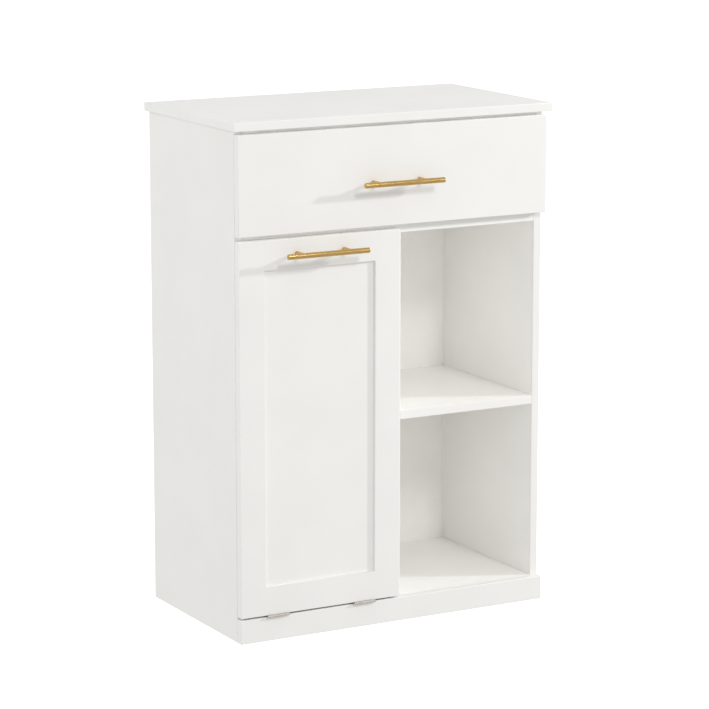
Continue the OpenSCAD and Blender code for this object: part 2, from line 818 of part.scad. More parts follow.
module hinge_leaf(x, odd, z0, bore_fit) {
  difference() {
    union() {
      difference() {
        block([x - hinge_l / 2, axis_y, z0], [x + hinge_l / 2, front_y + leaf_reach, z0 + leaf_t]);
        knuckle_clearance(x, 1 - odd);
      }
      knuckles(x, odd);
    }
    bar_x(x - hinge_l, x + hinge_l, axis_y, axis_z, pin_d + 2 * bore_fit);
  }
}

module hinge_case_leaves() {
  color("silver") difference() {
    for (x = hinge_xs) hinge_leaf(x, 0, plinth_h, 0.01);
    wood_screw_bores(hinge_case_screws);
  }
}

module hinge_door_leaves() {
  color("silver") difference() {
    for (x = hinge_xs) hinge_leaf(x, 1, door_z - leaf_t, turn_fit);
    wood_screw_bores(hinge_door_screws);
  }
}

module hinge_pins() {
  half = hinge_l / 2 - knuckle_gap;
  color("silver") for (x = hinge_xs) bar_x(x - half, x + half, axis_y, axis_z, pin_d);
}

// Magnetic catch under the deck

pocket_y = catch_y + catch_d - catch_back_wall;
pocket_z = deck_z - catch_h / 2 - pocket_h / 2;

module catch_housing() {
  color("white") difference() {
    block([door_mid_x - catch_w / 2, catch_y + seat_fit, deck_z - catch_h],
      [door_mid_x + catch_w / 2, catch_y + catch_d, deck_z]);
    block([door_mid_x - pocket_w / 2, catch_y - cut, pocket_z],
      [door_mid_x + pocket_w / 2, pocket_y, pocket_z + pocket_h]);
    for (s = catch_screws) translate([s[0][0], s[0][1], deck_z - catch_h - cut])
      cylinder(d = countersink_d + 2 * screw_fit, h = catch_screw_sink + cut);
    wood_screw_bores(catch_screws);
  }
}

module catch_pole_plates() {
  half = pocket_w / 2 - pole_fit;
  color("silver") for (z = [pocket_z + pole_fit, pocket_z + pocket_h - pole_t - pole_fit])
    block([door_mid_x - half, catch_y, z], [door_mid_x + half, pocket_y - pole_fit, z + pole_t]);
}

module catch_magnet() {
  half = pocket_w / 2 - 2 * pole_fit;
  color("dimgray") block([door_mid_x - half, catch_y + pole_lead, pocket_z + pole_t + 2 * pole_fit],
    [door_mid_x + half, pocket_y - 2 * pole_fit, pocket_z + pocket_h - pole_t - 2 * pole_fit]);
}

module catch_strike_plate() {
  color("silver") difference() {
    block([door_mid_x - strike_w / 2, front_back_y, strike_z - strike_h / 2],
      [door_mid_x + strike_w / 2, front_back_y + strike_t, strike_z + strike_h / 2]);
    wood_screw_bores(strike_screws);
  }
}

// Stay that stops the door

peg_y = axis_y + stay_r * sin(peg_angle);
peg_z = axis_z + stay_r * cos(peg_angle);
peg_head_x = stay_x + stay_t + 2 * seat_fit;

module peg_bore() {
  bar_x(-bay_x - bolt_depth - end_fit, -bay_x + cut, peg_y, peg_z, bolt_d + 2 * screw_fit);
}

module stay_peg() {
  color("silver") {
    bar_x(-bay_x - bolt_depth, -bay_x + cut, peg_y, peg_z, bolt_d);
    bar_x(-bay_x, -bay_x + peg_flange_t, peg_y, peg_z, peg_flange_d);
    bar_x(-bay_x, peg_head_x + peg_head_t, peg_y, peg_z, peg_d);
    bar_x(peg_head_x, peg_head_x + peg_head_t, peg_y, peg_z, peg_head_d);
  }
}

// Turns what is drawn round the Z axis into an arc in the door's plane of motion. Angle 0 is
// straight up from the hinge line, and the angle grows towards the back.
module about_hinge(from) {
  translate([stay_x, axis_y, axis_z]) rotate([-from, 0, 0]) rotate([0, 90, 0]) rotate([0, 0, 180])
    children();
}

module stay_arc(from, to, w, t) {
  about_hinge(from) rotate([0, 0, from - to]) rotate_extrude(angle = to - from)
    translate([stay_r - w / 2, 0]) square([w, t]);
}

module stay_quadrant() {
  slot_from = peg_angle - slot_end_play * 90 / stay_r;
  slot_to = peg_angle + tilt + slot_end_play * 90 / stay_r;
  color("silver") difference() {
    union() {
      difference() {
        stay_arc(0, slot_to + stay_tail, stay_w, stay_t);
        block([stay_x - cut, front_y - stay_r, axis_z],
          [stay_x + stay_t + cut, front_back_y, axis_z + 2 * stay_r]);
      }
      block([stay_x, front_back_y, stay_foot_z - stay_foot_h / 2],
        [stay_x + stay_foot_w, front_back_y + stay_t, stay_foot_z + stay_foot_h / 2]);
    }
    translate([-cut, 0, 0]) stay_arc(slot_from, slot_to, slot_w, stay_t + 2 * cut);
    for (a = [slot_from, slot_to])
      bar_x(stay_x - cut, stay_x + stay_t + cut, axis_y + stay_r * sin(a), axis_z + stay_r * cos(a),
        slot_w);
    wood_screw_bores(stay_screws);
  }
}

// Soft dots that the door and the drawer front close against
module case_bumpers() {
  deck_bumper_z = (deck_z + door_top) / 2;
  color("gainsboro") {
    for (x = [door_x + 3 * bumper_inset, door_right - 3 * bumper_inset])
      bar_along_y(case_front_y - bumper_t, case_front_y, x, deck_bumper_z, bumper_d);
    for (s = [-1, 1], z = [drawer_front_z + bumper_inset, drawer_front_top - bumper_inset])
      bar_along_y(case_front_y - bumper_t, case_front_y, s * side_mid, z, bumper_d);
  }
}

// Drawer

module drawer_front() {
  board([-side_x, front_y, drawer_front_z], [side_x, front_back_y, drawer_front_top]) {
    block([-box_in_x - groove_d, front_back_y - groove_d, bottom_z - slide_fit],
      [box_in_x + groove_d, front_back_y + cut, bottom_z + bottom_t + slide_fit]);
    bolt_bores(box_cams);
    dowel_bores(box_dowels);
    handle_screw_bores(0, drawer_handle_z);
  }
}

module drawer_side(s) {
  x0 = s < 0 ? -box_x : box_in_x;
  groove_x = s < 0 ? -box_in_x - groove_d : box_in_x - cut;
  board([x0, front_back_y, box_z], [x0 + box_side_t, box_back_y, box_top]) {
    block([groove_x, front_back_y - cut, bottom_z - slide_fit],
      [groove_x + groove_d + cut, box_back_y + cut, bottom_z + bottom_t + slide_fit]);
    cam_bores(box_cams, box_cam_d, box_cam_back);
    dowel_bores(box_dowels);
    box_screw_bores();
    wood_screw_bores(s < 0 ? left_box_runner_screws : right_box_runner_screws);
  }
}

module drawer_left_side() {
  drawer_side(-1);
}

module drawer_right_side() {
  drawer_side(1);
}

module drawer_back() {
  board([-box_in_x, box_back_y - box_side_t, box_back_z], [box_in_x, box_back_y, box_top]) {
    box_screw_bores();
    wood_screw_bores(bottom_screws);
  }
}

module drawer_bottom() {
  board([-box_in_x - tongue, front_back_y - tongue, bottom_z],
    [box_in_x + tongue, box_back_y, bottom_z + bottom_t]) wood_screw_bores(bottom_screws);
}

module drawer_cam_locks() {
  color("silver") cam_locks(box_cams, box_cam_d, box_cam_back);
}

module drawer_cam_bolts() {
  color("silver") cam_bolts(box_cams, box_cam_back);
}

module drawer_dowels() {
  color("burlywood") dowels(box_dowels);
}

module drawer_back_screws() {
  color("silver") box_screw_set();
}

module drawer_wood_screws() {
  color("silver") wood_screws(concat(left_box_runner_screws, right_box_runner_screws, bottom_screws));
}

// The left drawer runner: a web on the drawer side, a foot under it and a track on the front roller
module drawer_runner() {
  front = front_back_y + drawer_runner_setback;
  foot_z = box_z - runner_t;
  track_z = channel_z + track_rise;
  track_back_y = rear_roller_y - rear_roller_d / 2 - track_end;
  color("whitesmoke") difference() {
    union() {
      block([drawer_web_x, front, foot_z], [drawer_web_x + runner_t, box_back_y, track_z + runner_t]);
      block([drawer_web_x, front, foot_z], [-box_in_x, box_back_y, foot_z + runner_t]);
      block([track_x, front, track_z], [drawer_web_x + runner_t, track_back_y, track_z + runner_t]);
    }
    wood_screw_bores(left_box_runner_screws);
    bar_x(drawer_web_x - cut, drawer_web_x + runner_t + cut, rear_roller_y, rear_roller_z,
      rivet_d + 2 * screw_fit);
  }
}

module left_drawer_runner() {
  drawer_runner();
}

module right_drawer_runner() {
  mirror([1, 0, 0]) drawer_runner();
}

module rear_roller() {
  color("ivory") difference() {
    bar_x(rear_roller_x, rear_roller_x + roller_w, rear_roller_y, rear_roller_z, rear_roller_d);
    bar_x(rear_roller_x - cut, rear_roller_x + roller_w + cut, rear_roller_y, rear_roller_z,
      rivet_d + 2 * turn_fit);
  }
}

module left_rear_roller() {
  rear_roller();
}

module right_rear_roller() {
  mirror([1, 0, 0]) rear_roller();
}

module drawer_rivet() {
  head_x = rear_roller_x - rivet_room - rivet_head_t;
  bar_x(head_x, drawer_web_x + runner_t - rivet_short, rear_roller_y, rear_roller_z, rivet_d);
  bar_x(head_x, head_x + rivet_head_t, rear_roller_y, rear_roller_z, rivet_head_d);
}

module drawer_roller_rivets() {
  color("silver") for (m = [0, 1]) mirror([m, 0, 0]) drawer_rivet();
}

// Handles: a round bar on two posts, screwed on from behind the front

function post_xs(x) = [x - post_spacing / 2, x + post_spacing / 2];

module handle_bar(x, z) {
  color("goldenrod") bar_x(x - bar_l / 2, x + bar_l / 2, bar_y, z, bar_d);
}

module handle_posts(x, z) {
  color("goldenrod") for (px = post_xs(x)) difference() {
    bar_along_y(bar_y, front_y, px, z, post_d);
    bar_x(x - bar_l, x + bar_l, bar_y, z, bar_d);
    bar_along_y(front_y - post_thread_l, front_y + cut, px, z, handle_screw_d + 2 * screw_fit);
  }
}

module handle_screws(x, z) {
  color("silver") for (px = post_xs(x)) {
    bar_along_y(front_y - post_thread_l + post_thread_end, front_back_y + cut, px, z, handle_screw_d);
    difference() {
      bar_along_y(front_back_y, front_back_y + screw_head_t, px, z, screw_head_d);
      translate([px, front_back_y + screw_head_t, z]) rotate([90, 0, 0]) cross_slot();
    }
  }
}

module handle_screw_bores(x, z) {
  for (px = post_xs(x))
    bar_along_y(front_y - cut, front_back_y + cut, px, z, handle_screw_d + 2 * handle_hole_room);
}

module drawer_handle_bar() {
  handle_bar(0, drawer_handle_z);
}

module drawer_handle_posts() {
  handle_posts(0, drawer_handle_z);
}

module drawer_handle_screws() {
  handle_screws(0, drawer_handle_z);
}

module door_handle_bar() {
  handle_bar(door_mid_x, door_handle_z);
}

module door_handle_posts() {
  handle_posts(door_mid_x, door_handle_z);
}

module door_handle_screws() {
  handle_screws(door_mid_x, door_handle_z);
}

// Tilting door with the laundry bag

module door_panel() {
  board([door_x, front_y, door_z], [door_right, front_back_y, door_top]) {
    block([door_x + stile_w, front_y - cut, door_z + rail_w],
      [door_right - stile_w, front_y + recess_d, door_top - rail_w]);
    handle_screw_bores(door_mid_x, door_handle_z);
    wood_screw_bores(concat(hinge_door_screws, stay_screws, strike_screws));
    wood_screw_bores(frame_screws, short_screw_l);
  }
}

module door_wood_screws() {
  color("silver") {
    wood_screws(concat(hinge_door_screws, stay_screws, strike_screws));
    wood_screws(frame_screws, short_screw_l);
  }
}

// Rods of the bag frame: a loop with rounded rear corners, and two arms to the door
module frame_rods(d) {
  rear = bag_rear_y - rod_bend_r;
  half = bag_w / 2;
  for (s = [-1, 1]) {
    bar_along_y(front_back_y + bag_plate_t / 2, rear, bag_x + s * half, rim_z, d);
    translate([bag_x + s * (half - rod_bend_r), rear, rim_z]) rotate([0, 0, s > 0 ? 0 : 90])
      rotate_extrude(angle = 90) translate([rod_bend_r, 0]) circle(d = d);
  }
  bar_x(bag_x - half + rod_bend_r, bag_x + half - rod_bend_r, bag_rear_y, rim_z, d);
  bar_x(bag_x - half, bag_x + half, bag_front_y, rim_z, d);
}

module bag_frame() {
  color("whitesmoke") difference() {
    union() {
      frame_rods(rod_d);
      for (s = [-1, 1]) translate([bag_x + s * bag_w / 2, front_back_y, rim_z])
        block([-bag_plate_w / 2, 0, -bag_plate_h / 2], [bag_plate_w / 2, bag_plate_t, bag_plate_h / 2]);
    }
    wood_screw_bores(frame_screws, short_screw_l);
  }
}

module bag_outline(grow, z0, z1) {
  translate([bag_x, (bag_front_y + bag_rear_y) / 2, z0]) linear_extrude(z1 - z0)
    rounded_plate(bag_w + 2 * grow, bag_depth + 2 * grow, rod_bend_r + grow);
}

module laundry_bag() {
  color("linen") difference() {
    union() {
      bag_outline(bag_wall / 2, bag_z, rim_z);
      bag_outline(hem_r, rim_z - hem_r, rim_z + hem_r);
    }
    bag_outline(-bag_wall / 2, bag_z + bag_wall, rim_z);
    bag_outline(-hem_r, rim_z - hem_r - cut, rim_z + hem_r + cut);
    frame_rods(rod_d + 2 * cloth_fit);
  }
}

top_panel();
left_side_panel();
right_side_panel();
base_panel();
centre_divider();
drawer_deck();
shelf();
plinth();
rear_foot_rail();
drawer_top_rail();
hamper_back_panel();
shelf_back_panel();
drawer_bay_back_panel();
case_cam_locks();
case_cam_bolts();
case_dowels();
case_long_screws();
case_wood_screws();
left_case_runner();
right_case_runner();
case_roller_rivets();
hinge_case_leaves();
hinge_pins();
catch_housing();
catch_pole_plates();
catch_magnet();
stay_peg();
case_bumpers();
left_front_roller();
right_front_roller();
left_rear_roller();
right_rear_roller();
drawer_front();
drawer_left_side();
drawer_right_side();
drawer_back();
drawer_bottom();
drawer_cam_locks();
drawer_cam_bolts();
drawer_dowels();
drawer_back_screws();
drawer_wood_screws();
left_drawer_runner();
right_drawer_runner();
drawer_roller_rivets();
drawer_handle_bar();
drawer_handle_posts();
drawer_handle_screws();
door_panel();
hinge_door_leaves();
door_wood_screws();
door_handle_bar();
door_handle_posts();
door_handle_screws();
bag_frame();
laundry_bag();
stay_quadrant();
catch_strike_plate();
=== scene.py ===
"""White laundry cabinet with a drawer, a tilting hamper door and two open bays."""
import json
import math

import bmesh
import bpy
from mathutils import Matrix, Vector


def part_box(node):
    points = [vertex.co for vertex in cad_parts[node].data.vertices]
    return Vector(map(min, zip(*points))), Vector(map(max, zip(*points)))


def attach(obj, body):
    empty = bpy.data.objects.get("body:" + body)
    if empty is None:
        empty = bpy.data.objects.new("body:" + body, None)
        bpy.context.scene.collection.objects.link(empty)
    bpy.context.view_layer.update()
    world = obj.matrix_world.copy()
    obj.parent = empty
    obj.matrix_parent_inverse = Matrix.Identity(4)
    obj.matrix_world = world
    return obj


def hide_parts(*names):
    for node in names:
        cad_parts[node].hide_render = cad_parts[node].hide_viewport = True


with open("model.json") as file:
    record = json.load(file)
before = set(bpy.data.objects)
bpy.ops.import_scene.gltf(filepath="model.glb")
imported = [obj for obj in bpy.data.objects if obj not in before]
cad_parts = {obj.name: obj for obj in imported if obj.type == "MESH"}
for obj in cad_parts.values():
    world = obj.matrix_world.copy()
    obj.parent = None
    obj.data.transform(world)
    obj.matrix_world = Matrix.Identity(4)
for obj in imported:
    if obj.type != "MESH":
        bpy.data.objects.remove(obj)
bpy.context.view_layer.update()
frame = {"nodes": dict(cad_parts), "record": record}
scene = bpy.context.scene
body_of = {n: b for b, members in frame["record"]["behaviour"]["bodies"].items() for n in members}
slot_of = {s["node"]: s["material_slot"] for s in frame["record"]["subparts"]}
openings = {o["name"]: o["box_m"] for o in frame["record"]["physics"]["openings"]}
mm = 0.001
same_point = 0.001 * mm
same_plane = 0.01 * mm
flat_angle = math.radians(0.4)


# Materials

def paint(code):
    """An sRGB hex colour as linear red, green, blue and alpha."""
    parts = [int(code[i:i + 2], 16) / 255 for i in (1, 3, 5)]
    return [c / 12.92 if c <= 0.04045 else ((c + 0.055) / 1.055) ** 2.4 for c in parts] + [1.0]


def add(material, kind, links=None, values=None, **settings):
    """Adds one node to a material, with its settings, its socket values and its links."""
    tree = material.node_tree
    node = tree.nodes.new("ShaderNode" + kind)
    for name, value in settings.items():
        setattr(node, name, value)
    for socket, value in (values or {}).items():
        node.inputs[socket].default_value = value
    for socket, source in (links or {}).items():
        tree.links.new(source, node.inputs[socket])
    return node


def finish(name, **surface):
    """A material with its surface shader, whose sockets take plain values."""
    material = bpy.data.materials.new(name)
    material.use_nodes = True
    shader = material.node_tree.nodes["Principled BSDF"]
    for socket, value in surface.items():
        shader.inputs[socket.replace("_", " ")].default_value = value
    return material, shader


def mottled(material, shader, low, high, size, place, contrast=(0.35, 0.65), detail=3.0):
    """Colour that drifts between two near shades over patches of one size."""
    noise = add(material, "TexNoise", {"Vector": place}, {"Scale": 1 / size, "Detail": detail})
    ramp = add(material, "ValToRGB", {"Fac": noise.outputs["Fac"]})
    for element, at, colour in zip(ramp.color_ramp.elements, contrast, (low, high)):
        element.position = at
        element.color = paint(colour)
    material.node_tree.links.new(ramp.outputs["Color"], shader.inputs["Base Color"])
    return noise


def varied(material, shader, noise, low, high):
    """Roughness that follows a noise between two values."""
    spread = add(material, "MapRange", {"Value": noise.outputs["Fac"]},
                 {"From Min": 0.3, "From Max": 0.7, "To Min": low, "To Max": high})
    material.node_tree.links.new(spread.outputs["Result"], shader.inputs["Roughness"])


def raised(material, shader, height, depth, strength=1.0, below=None):
    """Bump of a real depth in metres, over what is already there."""
    links = {"Height": height}
    if below:
        links["Normal"] = below.outputs["Normal"]
    bump = add(material, "Bump", links, {"Distance": depth, "Strength": strength})
    material.node_tree.links.new(bump.outputs["Normal"], shader.inputs["Normal"])
    return bump


def coordinates(material, scale=(1, 1, 1), output="Object"):
    """Object or UV coordinates in metres, stretched for a pattern with a direction."""
    place = add(material, "TexCoord")
    return add(material, "Mapping", {"Vector": place.outputs[output]}, {"Scale": scale}).outputs["Vector"]


def sprayed_lacquer():
    # Satin lacquer sprayed on MDF: smooth and even, with a faint orange peel of 2 to 3 mm.
    material, shader = finish("satin_lacquer_on_mdf", Roughness=0.42, IOR=1.48, Coat_Weight=0.08,
                              Coat_Roughness=0.3)
    place = coordinates(material)
    noise = mottled(material, shader, "#F4F3F0", "#F6F5F2", 90 * mm, place)
    varied(material, shader, noise, 0.38, 0.46)
    peel = add(material, "TexNoise", {"Vector": place}, {"Scale": 1 / (2.6 * mm), "Detail": 1.0})
    raised(material, shader, peel.outputs["Fac"], 0.02 * mm, 0.5)
    return material


def faced_chipboard():
    # Melamine paper pressed on chipboard: a pearl texture with grains near 1.2 mm, duller than lacquer.
    material, shader = finish("melamine_faced_chipboard", Roughness=0.5, IOR=1.5)
    place = coordinates(material)
    noise = mottled(material, shader, "#F6F5F1", "#F8F7F4", 120 * mm, place)
    varied(material, shader, noise, 0.46, 0.54)
    pearl = add(material, "TexVoronoi", {"Vector": place}, {"Scale": 1 / (1.2 * mm)}, feature="SMOOTH_F1")
    raised(material, shader, pearl.outputs["Distance"], 0.03 * mm, 0.4)
    return material


def lacquered_hardboard():
    # The good face of a hardboard back: thin white lacquer that lets the fibres print through.
    material, shader = finish("white_lacquered_hardboard", Roughness=0.55, IOR=1.48)
    place = coordinates(material)
    noise = mottled(material, shader, "#F4F3EE", "#F7F6F2", 60 * mm, place)
    varied(material, shader, noise, 0.5, 0.6)
    fibres = add(material, "TexNoise", {"Vector": place}, {"Scale": 1 / (3 * mm), "Detail": 5.0})
    raised(material, shader, fibres.outputs["Fac"], 0.05 * mm, 0.4)
    return material


def bare_hardboard():
    # The unlacquered face of hardboard: pressed wood fibre, brown, with the print of the press screen.
    material, shader = finish("bare_hardboard", Roughness=0.8, IOR=1.45)
    place = coordinates(material)
    noise = mottled(material, shader, "#91704C", "#AA8962", 4 * mm, place, (0.3, 0.7))
    varied(material, shader, noise, 0.76, 0.84)
    screen = add(material, "TexVoronoi", {"Vector": place}, {"Scale": 1 / (2 * mm)}, distance="CHEBYCHEV")
    raised(material, shader, screen.outputs["Distance"], 0.15 * mm, 0.6)
    return material


def brushed_brass():
    # Brass plate brushed along the bar: fine lines, drawn about 0.5 mm apart so that they show.
    material, shader = finish("brushed_brass_plate", Metallic=1.0, Roughness=0.27, Anisotropic=0.5)
    place = coordinates(material, scale=(1, 30, 30))
    lines = mottled(material, shader, "#C49D5A", "#D8B678", 16 * mm, place, (0.3, 0.7), detail=4.0)
    varied(material, shader, lines, 0.24, 0.31)
    raised(material, shader, lines.outputs["Fac"], 0.03 * mm, 0.35)
    return material


def plated_steel(name, low, high, roughness, spot, depth):
    """Steel with a bright plate, cloudy over spots of one size, on a fine grain."""
    material, shader = finish(name, Metallic=1.0, Roughness=roughness)
    place = coordinates(material)
    noise = mottled(material, shader, low, high, spot, place)
    varied(material, shader, noise, roughness - 0.06, roughness + 0.08)
    grain = add(material, "TexNoise", {"Vector": place}, {"Scale": 1 / (0.6 * mm), "Detail": 2.0})
    raised(material, shader, grain.outputs["Fac"], depth, 0.5)
    return material


def powder_coat():
    # White epoxy powder baked on steel: semi-matt, with a slight orange peel near 1.5 mm.
    material, shader = finish("white_epoxy_powder_coat", Roughness=0.45, IOR=1.5)
    place = coordinates(material)
    noise = mottled(material, shader, "#ECECE8", "#F0F0ED", 40 * mm, place)
    varied(material, shader, noise, 0.4, 0.5)
    peel = add(material, "TexNoise", {"Vector": place}, {"Scale": 1 / (1.5 * mm), "Detail": 1.0})
    raised(material, shader, peel.outputs["Fac"], 0.03 * mm, 0.6)
    return material


def moulded(name, low, high, roughness, translucent=0.0):
    """Moulded plastic or rubber: even colour with a fine spark-eroded skin."""
    material, shader = finish(name, Roughness=roughness, IOR=1.5, Subsurface_Weight=translucent,
                              Subsurface_Radius=(3 * mm, 3 * mm, 3 * mm))
    place = coordinates(material)
    noise = mottled(material, shader, low, high, 12 * mm, place)
    varied(material, shader, noise, roughness - 0.05, roughness + 0.05)
    skin = add(material, "TexNoise", {"Vector": place}, {"Scale": 1 / (0.5 * mm), "Detail": 2.0})
    raised(material, shader, skin.outputs["Fac"], 0.02 * mm, 0.5)
    return material


def fluted_beech():
    # Bare beech dowels: pale pinkish brown with short darker flecks along the grain.
    material, shader = finish("bare_beech", Roughness=0.65, IOR=1.45)
    place = coordinates(material, scale=(6, 6, 6))
    noise = mottled(material, shader, "#B98F63", "#D2AC80", 8 * mm, place)
    varied(material, shader, noise, 0.6, 0.72)
    raised(material, shader, noise.outputs["Fac"], 0.1 * mm, 0.5)
    return material


def stitch_rows(material, place):
    """Rows of lockstitch along the hem, measured over the cloth from the hem's inner edge."""
    stitch, thread, heights = 5 * mm, 1.2 * mm, (3 * mm, 11 * mm, 44.5 * mm, 52.5 * mm)
    parts = add(material, "SeparateXYZ", {"Vector": place})
    beat = add(material, "Math", {0: parts.outputs["X"]}, {1: 2 * math.pi / stitch}, operation="MULTIPLY")
    wave = add(material, "Math", {0: beat.outputs["Value"]}, operation="SINE")
    dashes = add(material, "MapRange", {"Value": wave.outputs["Value"]}, {"From Min": -0.8, "From Max": -0.4})
    rows = None
    for height in heights:
        row = add(material, "Math", {0: parts.outputs["Y"]}, {1: height, 2: thread / 2}, operation="COMPARE")
        if rows:
            row = add(material, "Math", {0: rows.outputs[0], 1: row.outputs[0]}, operation="MAXIMUM")
        rows = row
    return add(material, "Math", {0: rows.outputs[0], 1: dashes.outputs[0]}, operation="MULTIPLY")


def plain_weave():
    # Unbleached cotton canvas: over-and-under threads, drawn 1.6 mm apart so that they show.
    material, shader = finish("unbleached_cotton_canvas", Roughness=0.9, IOR=1.45, Sheen_Weight=0.25,
                              Sheen_Roughness=0.5)
    # A wave texture of scale 1 has 3.183 bands to the metre
    bands = 1 / (1.6 * mm) / 3.183
    place = coordinates(material, output="UV")
    noise = mottled(material, shader, "#D8CDB8", "#E6DDCB", 5 * mm, place, (0.3, 0.7))
    varied(material, shader, noise, 0.85, 0.95)
    threads = [add(material, "TexWave", {"Vector": place}, {"Scale": bands, "Distortion": 0.4, "Detail": 1.0},
                   wave_type="BANDS", bands_direction=axis, wave_profile="SIN") for axis in "XY"]
    crossed = {0: threads[0].outputs["Fac"], 1: threads[1].outputs["Fac"]}
    cloth = add(material, "Math", crossed, operation="MAXIMUM")
    weave = raised(material, shader, cloth.outputs["Value"], 0.35 * mm, 0.8)
    stitches = stitch_rows(material, place)
    raised(material, shader, stitches.outputs["Value"], 0.9 * mm, 1.0, below=weave)
    thread = add(material, "Mix", {"Factor": stitches.outputs["Value"]}, data_type="RGBA")
    ground = shader.inputs["Base Color"].links[0].from_socket
    material.node_tree.links.new(ground, thread.inputs[6])
    thread.inputs[7].default_value = paint("#B9A888")
    material.node_tree.links.new(thread.outputs[2], shader.inputs["Base Color"])
    return material


lacquer = sprayed_lacquer()
melamine = faced_chipboard()
hardboard = lacquered_hardboard()
fibreboard = bare_hardboard()
brass = brushed_brass()
# Nickel electroplate, brushed to satin: pale and a little warm, with faint wide clouds
nickel = plated_steel("satin_nickel_plate", "#D2CCC2", "#E0DBD2", 0.3, 6 * mm, 0.02 * mm)
# Zinc electroplate with a blue passivation: cooler and duller, with small spots
zinc = plated_steel("bright_zinc_plate", "#B9BEC2", "#CDD1D4", 0.36, 3 * mm, 0.04 * mm)
epoxy = powder_coat()
# Uncoloured nylon: creamy, and light goes a few millimetres into it
nylon = moulded("natural_nylon", "#E6E0D0", "#EDE8DB", 0.45, 0.2)
# White ABS from a fine-eroded mould: even, semi-matt
abs_plastic = moulded("moulded_white_abs", "#ECEBE7", "#F1F0EC", 0.4)
# Pressed and sintered ferrite powder: nearly black, dull
ferrite = moulded("sintered_ferrite", "#26262A", "#33333A", 0.6)
# Clear soft polyurethane dots: smooth, and milky from the light inside
soft_dots = moulded("clear_soft_dots", "#DDDDD8", "#E8E8E4", 0.25, 0.3)
beech = fluted_beech()
canvas = plain_weave()

finish_of_slot = {
    "painted_mdf": lacquer,
    "melamine_board": melamine,
    "lacquered_hardboard": hardboard,
    "zinc_plated_steel": zinc,
    "nickel_plated_steel": nickel,
    "beech": beech,
    "white_powder_coat": epoxy,
    "nylon": nylon,
    "white_abs": abs_plastic,
    "ferrite": ferrite,
    "clear_rubber": soft_dots,
    "brushed_brass": brass,
    "cotton_canvas": canvas,
}
for name, node in frame["nodes"].items():
    node.data.materials.clear()
    node.data.materials.append(finish_of_slot[slot_of[name]])


# Pieces

def piece(name, bm, node, *materials):
    """Makes an object from a bmesh, in place of one CAD node and on its body."""
    mesh = bpy.data.meshes.new(name)
    bm.to_mesh(mesh)
    bm.free()
    made = bpy.data.objects.new(name, mesh)
    scene.collection.objects.link(made)
    for material in materials or (finish_of_slot[slot_of[node]],):
        mesh.materials.append(material)
    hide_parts(node)
    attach(made, body_of[node])
    return made


def merged_solid(node):
    """A copy of a CAD node's mesh, with its loose triangles joined into flat faces."""
    bm = bmesh.new()
    bm.from_mesh(frame["nodes"][node].data)
    bmesh.ops.remove_doubles(bm, verts=bm.verts, dist=same_point)
    bmesh.ops.dissolve_limit(bm, angle_limit=flat_angle, verts=bm.verts, edges=bm.edges)
    return bm


def ease(bm, edges, width, segments=3):
    """Rounds these edges. The new narrow faces are smooth and the flat ones stay flat."""
    made = bmesh.ops.bevel(bm, geom=edges, offset=width, offset_type="OFFSET", segments=segments, profile=0.5,
                           affect="EDGES", clamp_overlap=False, material=-1)
    for face in made["faces"]:
        face.smooth = True


def outer_edges(bm, low, high):
    """Edges that lie on two of the planes of a board's outline."""
    def planes(point):
        return {(axis, end) for axis in range(3) for end, corner in enumerate((low, high))
                if abs(point[axis] - corner[axis]) < same_plane}
    return [e for e in bm.edges if len(planes(e.verts[0].co) & planes(e.verts[1].co)) >= 2]


def eased_board(node, width=1.2 * mm):
    """A board with its bores and grooves, and with eased outer edges."""
    bm = merged_solid(node)
    ease(bm, outer_edges(bm, *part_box(node)), width)
    piece(node + "_eased", bm, node)


for node in ("top_panel", "left_side_panel", "right_side_panel", "plinth", "drawer_front"):
    eased_board(node)
for node in ("base_panel", "centre_divider", "drawer_deck", "shelf", "rear_foot_rail", "drawer_top_rail",
             "drawer_left_side", "drawer_right_side", "drawer_back"):
    eased_board(node, 0.8 * mm)


def two_faced_board(node, bare_side):
    """Hardboard, which is lacquered on one face only."""
    bm = merged_solid(node)
    for face in bm.faces:
        if face.normal.dot(bare_side) > 0.9:
            face.material_index = 1
    piece(node + "_two_faced", bm, node, hardboard, fibreboard)


for node in ("hamper_back_panel", "shelf_back_panel", "drawer_bay_back_panel"):
    two_faced_board(node, Vector((0, 1, 0)))
two_faced_board("drawer_bottom", Vector((0, 0, -1)))


